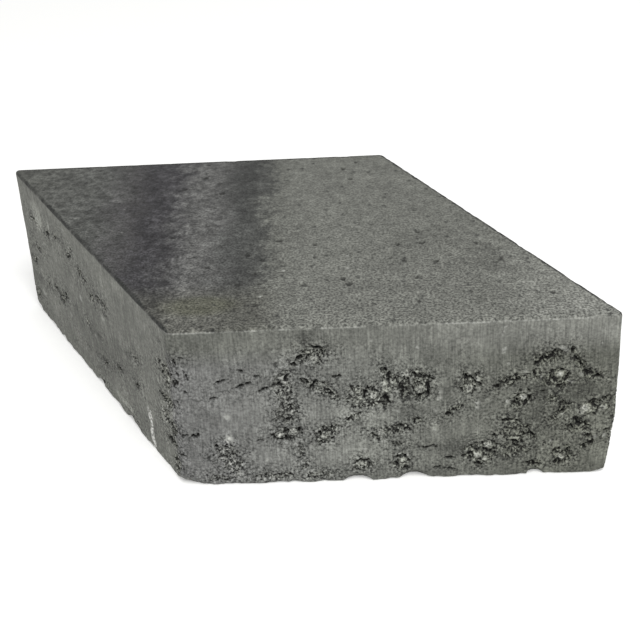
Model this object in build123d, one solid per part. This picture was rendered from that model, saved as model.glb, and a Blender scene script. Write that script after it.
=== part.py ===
from build123d import *

import math
import os

# Concrete paving stone with a rhombus plan, pressed in one piece.
# The walking face is up and its edge is crisp. The sides carry honeycomb pockets where the
# coarse concrete did not close up against the mould. The edge round the bed face is worn:
# it is rounded, chipped, and broken away at the corners.
# The origin is the middle of the bed face, +Z is up and +X runs along the front side.

# Driving dimensions, in millimetres and degrees
side_length = 140.0
acute_angle = 60.0
thickness = 60.0
acute_corner_radius = 1.5
obtuse_corner_radius = 3.0
walking_edge_radius = 1.0
bed_edge_radius = 1.0

# Honeycomb pockets: a full-size one, and how far the cut for it starts outside the side
pocket_width = 9.0
pocket_depth = 1.3
pocket_overrun = 0.4

# Chips along the bed edge, measured in from the sharp edge that was there
chip_width = 9.0
chip_depth = 2.6

# Broken bed corners: reach back along the side before the corner, on along the side after
# it, and up its arris
near_left_break = (7.5, 3.5, 4.5)
near_left_spall = (4.5, 11.0, 5.0)
near_right_break = (9.0, 8.0, 2.9)
near_right_spall = (3.8, 7.6, 32.0)
far_right_break = (7.0, 6.0, 5.0)
far_left_break = (4.0, 8.0, 5.0)

# Shallow scar on the left side beside the near left corner: how far it starts from the
# corner, how far it runs, its height up the side and its depth
scar_setback = 25.0
scar_length = 18.0
scar_height = 17.0
scar_depth = 0.5

# Uneven outline of a pocket: how far out its corners stand, and the size of its floor
corner_shares = (1.0, 0.84, 0.96, 0.76, 1.0, 0.88, 0.8)
floor_share = 0.62

# Pockets on each side: place along it, height up it, width, height, depth, and tilt in degrees
pocket_shares = {
    "front": (
        (0.293, 0.808, 0.80, 0.50, 0.9, 25),
        (0.329, 0.846, 0.75, 0.45, 1.0, -25),
        (0.246, 0.692, 0.55, 0.75, 0.8, -30),
        (0.309, 0.643, 0.80, 0.50, 1.0, -30),
        (0.250, 0.475, 0.90, 1.10, 0.6, 0),
        (0.249, 0.333, 1.15, 0.70, 1.0, 0),
        (0.339, 0.333, 0.95, 0.65, 1.0, 25),
        (0.107, 0.183, 1.10, 1.20, 0.5, 0),
        (0.357, 0.575, 0.75, 0.50, 0.9, -30),
        (0.414, 0.575, 0.75, 0.90, 1.0, 0),
        (0.454, 0.547, 0.95, 0.95, 1.1, 0),
        (0.480, 0.675, 0.50, 0.85, 0.9, 20),
        (0.518, 0.613, 0.70, 1.20, 1.3, 0),
        (0.557, 0.613, 0.85, 1.10, 1.1, 0),
        (0.664, 0.625, 1.00, 0.95, 1.1, -20),
        (0.629, 0.458, 0.90, 0.40, 0.8, 35),
        (0.545, 0.388, 0.55, 0.40, 0.9, 0),
        (0.504, 0.333, 1.00, 0.45, 0.8, 10),
        (0.449, 0.293, 0.75, 0.32, 0.7, -35),
        (0.404, 0.430, 0.75, 0.36, 0.7, 30),
        (0.416, 0.108, 0.85, 0.65, 0.9, 0),
        (0.507, 0.117, 0.65, 0.75, 0.9, 0),
        (0.646, 0.142, 1.00, 0.28, 0.7, 5),
        (0.750, 0.620, 1.30, 0.48, 1.0, 25),
        (0.838, 0.767, 1.00, 0.60, 1.2, 15),
        (0.911, 0.700, 1.40, 0.56, 1.1, -45),
        (0.861, 0.630, 0.90, 0.75, 1.0, 0),
        (0.781, 0.505, 0.85, 0.70, 1.1, 0),
        (0.864, 0.442, 0.90, 1.00, 1.1, 0),
        (0.936, 0.425, 1.10, 0.95, 1.0, 0),
        (0.918, 0.308, 0.95, 0.55, 0.9, 0),
        (0.764, 0.353, 1.00, 0.50, 1.0, -10),
        (0.787, 0.263, 0.90, 0.95, 1.1, -30),
        (0.700, 0.167, 0.95, 1.30, 1.2, -25),
        (0.874, 0.127, 0.70, 0.85, 1.0, 0),
        (0.936, 0.208, 0.60, 0.75, 0.9, 0),
    ),
    "right": (
        (0.075, 0.51, 1.10, 1.05, 1.0, 0),
        (0.120, 0.55, 1.00, 0.65, 0.9, -20),
        (0.064, 0.20, 1.10, 0.65, 0.9, 10),
        (0.222, 0.25, 1.05, 0.85, 1.0, 0),
        (0.286, 0.37, 0.85, 0.45, 0.7, 30),
        (0.371, 0.69, 1.05, 0.65, 1.0, 0),
        (0.471, 0.40, 1.25, 1.05, 1.1, 0),
        (0.521, 0.32, 0.85, 0.65, 1.0, -20),
        (0.614, 0.20, 1.25, 0.85, 1.0, 0),
        (0.586, 0.73, 0.65, 0.45, 0.7, 0),
        (0.700, 0.60, 1.05, 0.85, 1.0, 0),
        (0.743, 0.50, 0.85, 0.65, 0.9, 30),
        (0.800, 0.15, 1.05, 0.65, 0.7, 0),
        (0.871, 0.37, 1.05, 0.85, 1.0, 0),
        (0.921, 0.67, 0.85, 0.45, 0.9, 0),
    ),
    "back": (
        (0.093, 0.42, 1.25, 0.85, 1.0, 0),
        (0.143, 0.30, 0.85, 0.65, 0.9, 20),
        (0.207, 0.67, 1.05, 0.65, 1.0, 0),
        (0.264, 0.55, 0.65, 0.45, 0.7, -30),
        (0.329, 0.27, 1.05, 0.85, 1.0, 0),
        (0.379, 0.15, 0.85, 0.65, 0.9, 0),
        (0.479, 0.53, 1.25, 1.05, 1.1, 0),
        (0.536, 0.62, 0.85, 0.65, 1.0, 20),
        (0.614, 0.72, 0.85, 0.45, 0.9, 0),
        (0.643, 0.17, 1.05, 0.65, 0.7, 0),
        (0.700, 0.32, 1.05, 0.85, 1.0, 0),
        (0.857, 0.52, 1.05, 0.85, 1.0, 0),
        (0.907, 0.40, 0.85, 0.65, 0.9, 0),
        (0.943, 0.15, 0.85, 0.65, 0.8, 0),
    ),
    "left": (
        (0.225, 0.383, 0.60, 0.45, 0.6, 30),
        (0.275, 0.375, 0.80, 0.75, 0.7, 0),
        (0.368, 0.775, 0.55, 0.60, 0.6, 0),
        (0.441, 0.742, 0.60, 0.55, 0.6, 0),
        (0.518, 0.650, 0.50, 0.60, 0.6, 0),
        (0.600, 0.692, 0.65, 0.60, 0.6, 0),
        (0.768, 0.367, 0.60, 0.50, 0.6, 0),
        (0.957, 0.525, 1.25, 0.50, 1.2, 0),
        (0.954, 0.250, 1.10, 0.40, 1.2, 5),
    ),
}

# Chips along the bed edge of each side: place along it, width and depth
chip_shares = {
    "front": ((0.26, 0.6, 0.45), (0.405, 1.15, 0.95), (0.535, 1.05, 1.3), (0.815, 0.6, 1.0)),
    "right": ((0.20, 0.8, 0.9), (0.46, 0.7, 0.7), (0.71, 1.0, 0.9)),
    "back": ((0.17, 0.7, 0.8), (0.38, 1.0, 1.0), (0.66, 0.8, 0.8)),
    "left": ((0.22, 0.7, 0.7), (0.48, 0.8, 0.7), (0.68, 0.7, 0.8)),
}

# Plan of the stone, anticlockwise from the near left corner
lean = side_length * math.cos(math.radians(acute_angle))
depth = side_length * math.sin(math.radians(acute_angle))
near_left = Vector((lean - side_length) / 2, -depth / 2)
near_right = near_left + Vector(side_length, 0)
far_right = near_right + Vector(-lean, depth)
far_left = near_left + Vector(-lean, depth)
up = Vector(0, 0, 1)

sides = {
    "front": (near_left, near_right),
    "right": (near_right, far_right),
    "back": (far_right, far_left),
    "left": (far_left, near_left),
}

# Corners with the sides before and after them
breaks = (
    (near_left, "left", "front", near_left_break),
    (near_left, "left", "front", near_left_spall),
    (near_right, "front", "right", near_right_break),
    (near_right, "front", "right", near_right_spall),
    (far_right, "right", "back", far_right_break),
    (far_left, "back", "left", far_left_break),
)


def run_of(side):
    """Unit vector along a side, anticlockwise round the plan."""
    start, end = sides[side]
    return (end - start).normalized()


def outward_of(side):
    """Unit normal of a side, away from the stone."""
    return run_of(side).cross(up)


def place_on(side, along_share, height_share):
    """Point on the flat of a side."""
    start, end = sides[side]
    return start + (end - start) * along_share + up * (thickness * height_share)


def pressed_block():
    """Block as the mould leaves it, with its bed edge already worn round."""
    plan = make_face(Polyline(near_left, near_right, far_right, far_left, close=True))
    block = extrude(plan, thickness)
    arrises = block.edges().filter_by(Axis.Z).sort_by(Axis.X)
    block = fillet([arrises[0], arrises[-1]], acute_corner_radius)
    arrises = block.edges().filter_by(Axis.Z)
    blunt = [arris for arris in arrises if abs(arris.center().X) < side_length / 2]
    block = fillet(blunt, obtuse_corner_radius)
    block = fillet(block.faces().sort_by(Axis.Z)[-1].edges(), walking_edge_radius)
    return fillet(block.faces().sort_by(Axis.Z)[0].edges(), bed_edge_radius)


def scoop(point, outward, across, width, depth):
    """Ball that leaves a dish of this width and depth in a surface through the point."""
    radius = (width**2 / 4 + depth**2) / (2 * depth)
    centre = point + outward * (radius - depth)
    return Plane(origin=centre, x_dir=outward, z_dir=across) * Sphere(radius)


def pocket_ring(place, width, height, level, turn):
    """Uneven ring of corners round a pocket, taken from a step further on each turn."""
    ring = []
    for index in range(len(corner_shares)):
        angle = math.tau * index / len(corner_shares)
        reach = corner_shares[(index + turn) % len(corner_shares)] / 2
        corner = Vector(reach * width * math.cos(angle), reach * height * math.sin(angle), level)
        ring.append(place.from_local_coords(corner))
    return ring


def pocket(place, width, height, depth, turn):
    """Cut for one pocket, with flat walls that close in from its mouth to its floor."""
    flare = 1 + (1 - floor_share) * pocket_overrun / depth
    mouth = pocket_ring(place, width * flare, height * flare, pocket_overrun, turn)
    floor = pocket_ring(place, width * floor_share, height * floor_share, -depth, turn)
    outlines = [mouth, floor]
    for index in range(len(mouth)):
        outlines.append((mouth[index - 1], mouth[index], floor[index], floor[index - 1]))
    return Solid(Shell([Face(Wire.make_polygon(outline)) for outline in outlines]))


def pockets(side):
    """Honeycomb pockets of one side."""
    cuts = []
    for turn, (along, above, wide, high, deep, tilt) in enumerate(pocket_shares[side]):
        place = Plane(place_on(side, along, above), x_dir=run_of(side), z_dir=outward_of(side))
        place = place.rotated((0, 0, tilt))
        width, height, depth = pocket_width * wide, pocket_width * high, pocket_depth * deep
        cuts.append(pocket(place, width, height, depth, turn))
    return cuts


def chips(side):
    """Shell-shaped chips out of the bed edge of one side."""
    outward = (outward_of(side) - up).normalized()
    return [
        scoop(place_on(side, along, 0), outward, run_of(side), chip_width * wide, chip_depth * deep)
        for along, wide, deep in chip_shares[side]
    ]


def scar():
    """Slab that leaves the shallow scar, open at the bed face."""
    back = near_left - run_of("left") * scar_setback
    plane = Plane(origin=back, x_dir=run_of("left"), z_dir=outward_of("left"))
    slab = Box(scar_length, 2 * scar_height, 2 * scar_depth)
    return plane * Pos(scar_length / 2, 0, 0) * slab


def break_plane(corner, before, after, reaches):
    """Plane of a broken bed corner, facing out through the three points that it reaches."""
    back_reach, on_reach, up_reach = reaches
    back = corner - run_of(before) * back_reach
    on = corner + run_of(after) * on_reach
    top = corner + up * up_reach
    return Plane(origin=back, z_dir=(on - back).cross(top - back))


def paving_stone():
    """Pressed block with its scar, broken corners, chips and pockets."""
    stone = pressed_block() - scar()
    for corner, before, after, reaches in breaks:
        stone = split(stone, break_plane(corner, before, after, reaches), keep=Keep.BOTTOM)
    for side in sides:
        stone -= chips(side)
        stone -= pockets(side)
    return stone


os.makedirs("parts", exist_ok=True)
stone = paving_stone()
stone.label = "paving_stone"
export_step(stone, "parts/paving_stone.step")
print("paving_stone", len(stone.solids()), "solid", stone.is_valid, stone.volume, stone.bounding_box())
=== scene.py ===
import bpy
import bmesh
import math
import random
import numpy as np
from functools import partial
from mathutils import Matrix, Vector, noise


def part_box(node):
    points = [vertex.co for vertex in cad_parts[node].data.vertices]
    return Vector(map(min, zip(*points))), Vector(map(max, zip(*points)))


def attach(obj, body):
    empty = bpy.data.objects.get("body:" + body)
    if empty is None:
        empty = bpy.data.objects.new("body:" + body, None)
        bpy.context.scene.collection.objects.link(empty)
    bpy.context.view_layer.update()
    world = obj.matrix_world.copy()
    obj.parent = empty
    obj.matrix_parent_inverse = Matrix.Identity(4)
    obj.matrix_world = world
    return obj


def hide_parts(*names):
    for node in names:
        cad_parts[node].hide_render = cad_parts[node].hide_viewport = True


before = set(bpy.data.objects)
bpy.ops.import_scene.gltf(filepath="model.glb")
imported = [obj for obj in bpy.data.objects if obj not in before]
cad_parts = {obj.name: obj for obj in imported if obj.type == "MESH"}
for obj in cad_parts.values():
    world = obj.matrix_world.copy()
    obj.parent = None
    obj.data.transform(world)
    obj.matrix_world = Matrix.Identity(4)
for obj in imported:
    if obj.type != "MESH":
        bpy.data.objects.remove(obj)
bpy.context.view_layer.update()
mm = 0.001  # metres in a millimetre

# Paving stone: the CAD block, remeshed fine and roughened in code; sizes in mm
paver = {
    "node": "paving_stone",
    "slot": "concrete",
    "acuteAngle": 60,              # plan angle at the sharp corners, degrees
    "weld": 0.001,                 # points of the CAD mesh this near are one
    "voxel": 0.4,                  # remesh step
    "triangles": 194000,           # most that the finished stone keeps
    "sheetMargin": 4.0,            # between the faces laid out for the bake
    "edgeReach": (2.5, 7.0),       # how far in from a side its relief starts to fade, and ends
    "arrisBlend": 1.5,             # distance over which two sides share a corner
    "crumbRadius": (0.4, 1.3),     # crumbs behind the skin
    "crumbLean": 1.6,              # above 1, most crumbs are near the small end
    "crumbSlim": (0.5, 1),         # width against length
    "crumbSetback": (0.0, 1.3),    # how far the middle of a crumb stands behind the skin
    "crumbTone": (0, 0.8),         # from dark to pale
    "crumbCover": 1.5,             # area of the crumbs against the area of a side
    "crumbDrop": 0.8,              # fall from the middle of a crumb to its rim, against its radius
    "pebbleDrop": 1.4,             # the same for a pebble, in mm
    "pebbleMark": 2,               # mark of an opening with one pebble inside
    "pebbleReach": 0.92,           # radius of a pebble against its opening
    "pebbleSlim": 0.88,
    "pebbleTone": (0.6, 1),
    "plainTone": 0.4,              # where there is no crumb
    "gapDepth": {2: 1.7, 1: 2.0, 0: 1.0},  # by what is inside an opening, as marked below
    "gapGrit": (0.5, 0.7),         # least share of that depth, and what grit adds to it
    "slitDepth": 1.7,
    "roughSkinReach": 2.6,             # how far the darker, rougher skin reaches round an opening
    "looseDepth": 0.6,             # small pits where the skin is loose
    "crumbGrit": 0.25,             # roughness of the crumbs
    "pitShadeDepth": (0.6, 1.5),        # painted shade in the gaps grows from the one depth to the other
    "ragged": 0.4,                 # how uneven the outlines of openings are, as a share of their size
    "pebbleRagged": 0.25,          # the same round a pebble, against other openings
    "outlineWarp": 0.5,            # how far noise pushes the outlines of openings about
    "crumbWarp": 0.35,             # and those of crumbs
    "crestRounds": 4,              # how often depths are averaged, to find what stands out
    "plainSkin": 0.5,              # tone of plain skin, where 1 is the palest
    "keepEnds": (4.0, 7.0),        # by the corners the CAD shape stays as it is
    "keepEdges": (3.0, 5.0),       # and along the top and bed edges
    "scar": (112.0, 136.0, 19.0),  # on the left: from, to and up to
    "bedRagged": 0.5,              # wear along the bed edge
    "bedReach": 5.0,               # how far the bed edge is worn
    "topRagged": 0.3,              # wear along the top edge
    "topReach": 1.8,               # and how far the top edge is
    "bedRough": 0.5,               # relief of the bed face
    "bedSkin": 0.6,                # what counts as the bed face, up from the bed
    "topSkin": 0.2,                # what counts as the walking face, down from the top
    "sideWave": 0.35,              # slow unevenness of the sides
    "waveFade": (2, 9),            # below the top, where it starts and is full
    "poreDepth": 0.6,
    "poreSpread": 1.25,            # radius of the dip against the radius of the pore
    "poreWarp": 0.6,               # how far noise pushes their outlines about
    # noise: size of a feature in mm, and a shift that keeps one pattern off another
    "noises": {
        "warpAlong": (2.4, 0.0), "warpUp": (2.4, 31.7), "fineUp": (1.0, 11.3), "fineAlong": (1.0, 47.9),
        "slitBreaks": (0.9, 17.3), "loosePatches": (3.6, 71.9), "edgeBites": (6.0, 3.1),
        "edgeNibbles": (2.2, 8.4), "waves": (13.0, 6.6), "bedLumps": (8.0, 9.7),
        "poreAlong": (1.6, 5.2), "poreAcross": (1.6, 21.4),
    },
}

# Where the cement skin broke open on each side: place along it and height in mm, half length,
# half height, tilt in degrees, and what is inside: 2 one pebble, 1 gravel, 0 grit
honeycomb = {
    "front": [
        (41, 48.5, 3.2, 1.8, 25, 1), (45.8, 51, 3.2, 1.7, -20, 1), (45.3, 47.2, 1.9, 1.7, 0, 2),
        (38, 45.8, 1.6, 0.9, 30, 0), (34.6, 41.6, 2.2, 3.0, -30, 0), (33.4, 38.8, 1.6, 1.0, 0, 0),
        (43, 39, 3.4, 1.8, -30, 1), (35, 28.5, 4.0, 4.6, 0, 0), (36.8, 20.6, 2.3, 2.1, 0, 2),
        (32, 19.4, 1.8, 1.9, 0, 2), (34.8, 20.2, 4.8, 3.0, 0, 1), (46.6, 18.2, 2.0, 1.9, 0, 2),
        (48, 20.4, 3.8, 2.4, 25, 1), (38.6, 13, 1.0, 3.6, 0, 0), (40, 7.5, 1.2, 1.6, 0, 0),
        (14.5, 13, 3.8, 4.0, -20, 0), (16.5, 8, 3.4, 3.0, 0, 0), (12, 3, 5, 1.5, 0, 0),
        (30, 3.2, 7, 1.7, 0, 0), (44, 3, 5, 1.5, 0, 0), (49.5, 34.6, 3.0, 1.7, -35, 1),
        (57.6, 35.6, 1.8, 1.7, 0, 2), (57.8, 34.3, 3.0, 3.4, 0, 1), (62.2, 33.4, 2.5, 2.5, 0, 2),
        (62.4, 33, 3.8, 3.8, 0, 1), (66, 31.2, 2.2, 2.4, 0, 1), (67, 41, 1.7, 3.2, 20, 1),
        (66.6, 35.6, 1.5, 2.2, 0, 2), (72.3, 36.6, 2.6, 4.6, 0, 1), (73.2, 41.2, 1.7, 1.4, 0, 2),
        (77, 35, 2.5, 2.5, 0, 2), (78.5, 39.6, 3.0, 2.0, -20, 1), (77, 35.6, 4.0, 4.0, 0, 1),
        (75.6, 41.2, 1.3, 1.1, 30, 1), (92.6, 35, 2.1, 2.0, 0, 2), (95.6, 38.2, 1.8, 1.7, 0, 2),
        (93, 37.4, 3.8, 3.8, -20, 1), (88.6, 27.8, 3.2, 1.1, 30, 0), (86, 25.2, 1.4, 0.9, 30, 0),
        (76.2, 23.4, 1.9, 1.4, 0, 1), (64.4, 19.6, 1.7, 1.3, 0, 2), (70.8, 20.2, 3.4, 1.5, 12, 1),
        (62.8, 17.6, 3.0, 0.8, -32, 0), (56.4, 25.6, 2.8, 1.3, 30, 0), (54.3, 24, 1.4, 1.0, 0, 0),
        (58.6, 6.2, 2.1, 2.0, 0, 2), (58.3, 6.4, 3.4, 2.9, 0, 1), (71.2, 7, 2.0, 2.1, 0, 2),
        (71, 6.8, 3.1, 3.3, 0, 1), (70, 14.4, 2.2, 1.0, 0, 0), (102.5, 36, 2.8, 1.0, 38, 1),
        (106.5, 38.2, 3.2, 1.6, 0, 1), (110.6, 38.6, 1.4, 1.0, 30, 0), (114.2, 44, 1.8, 1.3, 40, 1),
        (117, 45.8, 3.2, 1.7, 10, 1), (119.6, 47.4, 2.4, 1.3, -20, 1), (124.2, 47.6, 1.2, 1.4, 30, 1),
        (126.4, 43.8, 2.2, 1.5, -45, 1), (129.2, 39.4, 1.8, 1.7, 0, 1),
        (132.4, 37.6, 2.4, 1.0, -15, 1), (120.6, 38.8, 2.3, 2.2, 0, 2), (120.4, 38.2, 3.7, 3.2, 0, 1),
        (121.4, 34.2, 1.1, 1.6, 0, 1), (113.6, 39.6, 1.6, 2.0, 0, 0), (109.4, 31, 2.0, 1.9, 0, 2),
        (109.2, 30.2, 3.6, 3.0, 0, 1), (119, 30, 1.6, 1.3, 0, 1), (122, 27.4, 2.0, 1.5, 0, 1),
        (120.8, 24.8, 1.8, 1.7, 0, 1), (119.4, 22, 1.6, 1.6, 0, 0), (129.6, 25.2, 2.8, 2.7, 0, 2),
        (131.6, 26.8, 2.6, 3.0, -30, 1), (135.2, 26, 2.0, 2.1, 0, 2), (136, 29.4, 1.6, 1.0, 0, 1),
        (128, 19, 3.5, 2.2, 10, 1), (126, 21.4, 1.6, 1.2, 0, 1), (105, 22, 2.6, 1.2, -10, 1),
        (107.6, 20.8, 1.8, 1.5, 0, 1), (110.6, 19, 2.2, 1.5, 30, 1), (112.4, 16, 2.2, 1.3, -40, 1),
        (108, 14, 2.4, 1.9, 0, 1), (105.5, 10.5, 4.0, 2.6, 0, 0), (99, 12.6, 2.1, 2.0, 0, 2),
        (95.4, 8.8, 2.1, 1.9, 0, 2), (98, 7.2, 1.5, 1.3, 0, 2), (97.6, 10, 4.4, 5.0, -35, 1),
        (100.4, 16.4, 1.2, 0.8, 30, 1), (96.3, 5.2, 1.6, 1.2, 0, 1), (113.6, 4.4, 2.4, 1.8, -10, 1),
        (122.4, 7, 1.9, 1.9, 0, 2), (122, 7, 3.0, 3.2, 20, 1), (123.6, 11, 1.2, 0.9, 0, 1),
        (131.2, 12.6, 1.6, 1.4, 0, 1), (129, 11, 1.2, 1.2, 0, 0), (130.6, 15, 1.8, 0.7, 0, 0),
        (139.4, 30, 1.2, 3, 0, 1), (139, 15, 2.0, 3.5, 0, 1), (138.6, 22, 1, 2, 0, 0),
        (107, 17, 4.5, 4.5, -30, 0), (108, 10.5, 4.5, 2.4, 0, 0), (127, 19, 4.2, 3.0, 0, 0),
        (122.5, 26, 2.8, 2.6, 0, 0), (118.5, 30, 2.2, 2.0, 0, 0), (117, 45.4, 4.2, 2.4, 10, 0),
        (105.5, 37.6, 4.2, 2.2, 25, 0), (130.6, 38.4, 3.6, 2.0, -15, 0), (126.6, 43, 1.8, 3.2, 30, 0),
        (119.5, 36.5, 4.4, 2.4, 0, 0), (109, 29.5, 3.8, 3.2, 0, 0), (62, 31, 4.6, 2.2, 0, 0),
        (57, 33, 3.0, 3.6, 0, 0), (68.5, 38.5, 3.4, 4.2, 0, 0), (47, 37, 4.0, 2.2, -30, 0),
        (34.6, 36.5, 3.0, 6.0, 0, 0), (44, 50, 4.4, 2.2, 0, 0), (46, 18.4, 3.6, 3.2, 0, 0),
        (69, 20.4, 4.6, 1.8, 10, 0), (95.8, 9.4, 4.8, 4.4, -30, 0), (123, 7.6, 3.2, 3.6, 0, 0),
    ],
    "right": [
        (0.8, 28, 1.6, 3.4, 0, 1), (1.2, 14, 2.2, 4.6, 0, 1), (10.5, 30.6, 4.2, 4.2, 0, 1),
        (9.5, 31.5, 2.4, 2.2, 0, 2), (16.8, 33, 4.0, 2.4, -20, 1), (9, 12, 4.2, 2.4, 10, 1),
        (31, 15, 4.2, 3.4, 0, 1), (32, 14.4, 2.3, 2.1, 0, 2), (40, 22.2, 3.4, 1.6, 30, 0),
        (52, 41.4, 4.2, 2.4, 0, 1), (66, 24, 4.8, 4.2, 0, 1), (67.4, 24.6, 2.6, 2.4, 0, 2),
        (73, 19.2, 3.4, 2.4, -20, 1), (86, 12, 4.8, 3.4, 0, 1), (84.4, 11.6, 2.4, 2.2, 0, 2),
        (82, 43.8, 2.4, 1.6, 0, 0), (98, 36, 4.2, 3.4, 0, 1), (104, 30, 3.4, 2.4, 30, 1),
        (98.6, 36, 2.4, 2.2, 0, 2), (112, 9, 4.2, 2.4, 0, 0), (122, 22.2, 4.2, 3.4, 0, 1),
        (123, 21.6, 2.4, 2.2, 0, 2), (129, 40.2, 3.4, 1.6, 0, 1), (134, 15, 2.4, 4, 0, 0),
        (45, 6, 4, 1.6, 0, 1),
    ],
    "back": [
        (13, 25.2, 4.8, 3.4, 0, 1), (14, 25, 2.5, 2.2, 0, 2), (20, 18, 3.4, 2.4, 20, 1),
        (29, 40.2, 4.2, 2.4, 0, 1), (37, 33, 2.4, 1.6, -30, 0), (46, 16.2, 4.2, 3.4, 0, 1),
        (47, 16.6, 2.3, 2.1, 0, 2), (53, 9, 3.4, 2.4, 0, 1), (67, 31.8, 4.8, 4.2, 0, 1),
        (65.6, 32.4, 2.6, 2.4, 0, 2), (75, 37.2, 3.4, 2.4, 20, 1), (86, 43.2, 3.4, 1.6, 0, 1),
        (90, 10.2, 4.2, 2.4, 0, 0), (98, 19.2, 4.2, 3.4, 0, 1), (98.6, 18.6, 2.4, 2.2, 0, 2),
        (120, 31.2, 4.2, 3.4, 0, 1), (120.6, 30.6, 2.4, 2.2, 0, 2), (127, 24, 3.4, 2.4, 0, 1),
        (132, 9, 3.4, 2.4, 0, 1), (5, 44, 2.4, 2.4, 0, 0), (60, 4, 4, 1.6, 0, 1),
    ],
    "left": [
        (55, 50, 1.3, 1.1, 0, 0), (51.5, 46.5, 1.8, 1.5, 0, 0), (62, 44.5, 1.9, 1.5, 0, 0),
        (66.5, 43.3, 1.8, 0.7, 20, 0), (72.5, 39, 1.6, 1.4, 0, 0), (79, 42, 1.8, 0.9, 0, 0),
        (84, 41.5, 2.0, 1.6, 20, 0), (15, 45, 2.6, 1.6, 10, 0), (40, 48.5, 2.4, 0.8, 20, 0),
        (31, 46, 2.6, 0.9, 10, 0), (16.5, 33.5, 3.2, 1.0, 15, 0), (31.5, 23, 1.9, 1.1, 25, 1),
        (42, 25, 2.0, 1.3, 0, 1), (38, 22, 2.4, 2.2, 30, 0), (23, 20.5, 2.4, 0.8, 20, 0),
        (7, 9.5, 2, 1.6, 0, 1), (9, 25, 2.2, 1.3, 30, 0), (5, 8, 2, 2, 0, 0), (63, 24, 1.5, 1.1, 0, 0),
        (91, 19.5, 2.2, 0.9, 20, 0), (107.5, 22, 2.0, 1.4, 20, 1), (109, 33.5, 1.8, 0.7, 20, 0),
        (71, 3, 2.4, 1, 0, 0), (100, 2.6, 2.2, 0.8, 0, 0), (77, 14, 2.2, 0.8, 20, 0),
        (131, 44.4, 1.4, 0.8, 30, 1), (133, 41.4, 1.4, 1.0, 0, 1), (139.5, 41, 1.8, 1.0, 10, 1),
        (141, 49, 1.4, 0.8, 0, 1), (134.4, 31.8, 3.6, 1.6, 10, 0), (130, 31, 1.6, 1.0, 20, 0),
        (132.6, 14.9, 3.4, 1.3, 8, 0), (125.6, 19.4, 1.6, 0.9, 20, 1), (135.5, 20, 1.6, 1.0, 0, 1),
        (134.5, 4.6, 2.2, 1.0, 0, 1), (139.6, 12.4, 1.4, 0.8, 20, 1), (136, 38, 2, 2, 0, 0),
        (136, 8, 3, 3, 0, 0), (134, 31, 4.6, 2.4, 6, 0), (133.6, 15.2, 4.2, 2.2, 8, 0),
        (136.4, 42.6, 3.6, 3.4, 0, 1), (132, 24, 3.6, 3.0, 0, 0), (137, 22, 2.6, 3.6, 0, 0),
    ],
}
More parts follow.
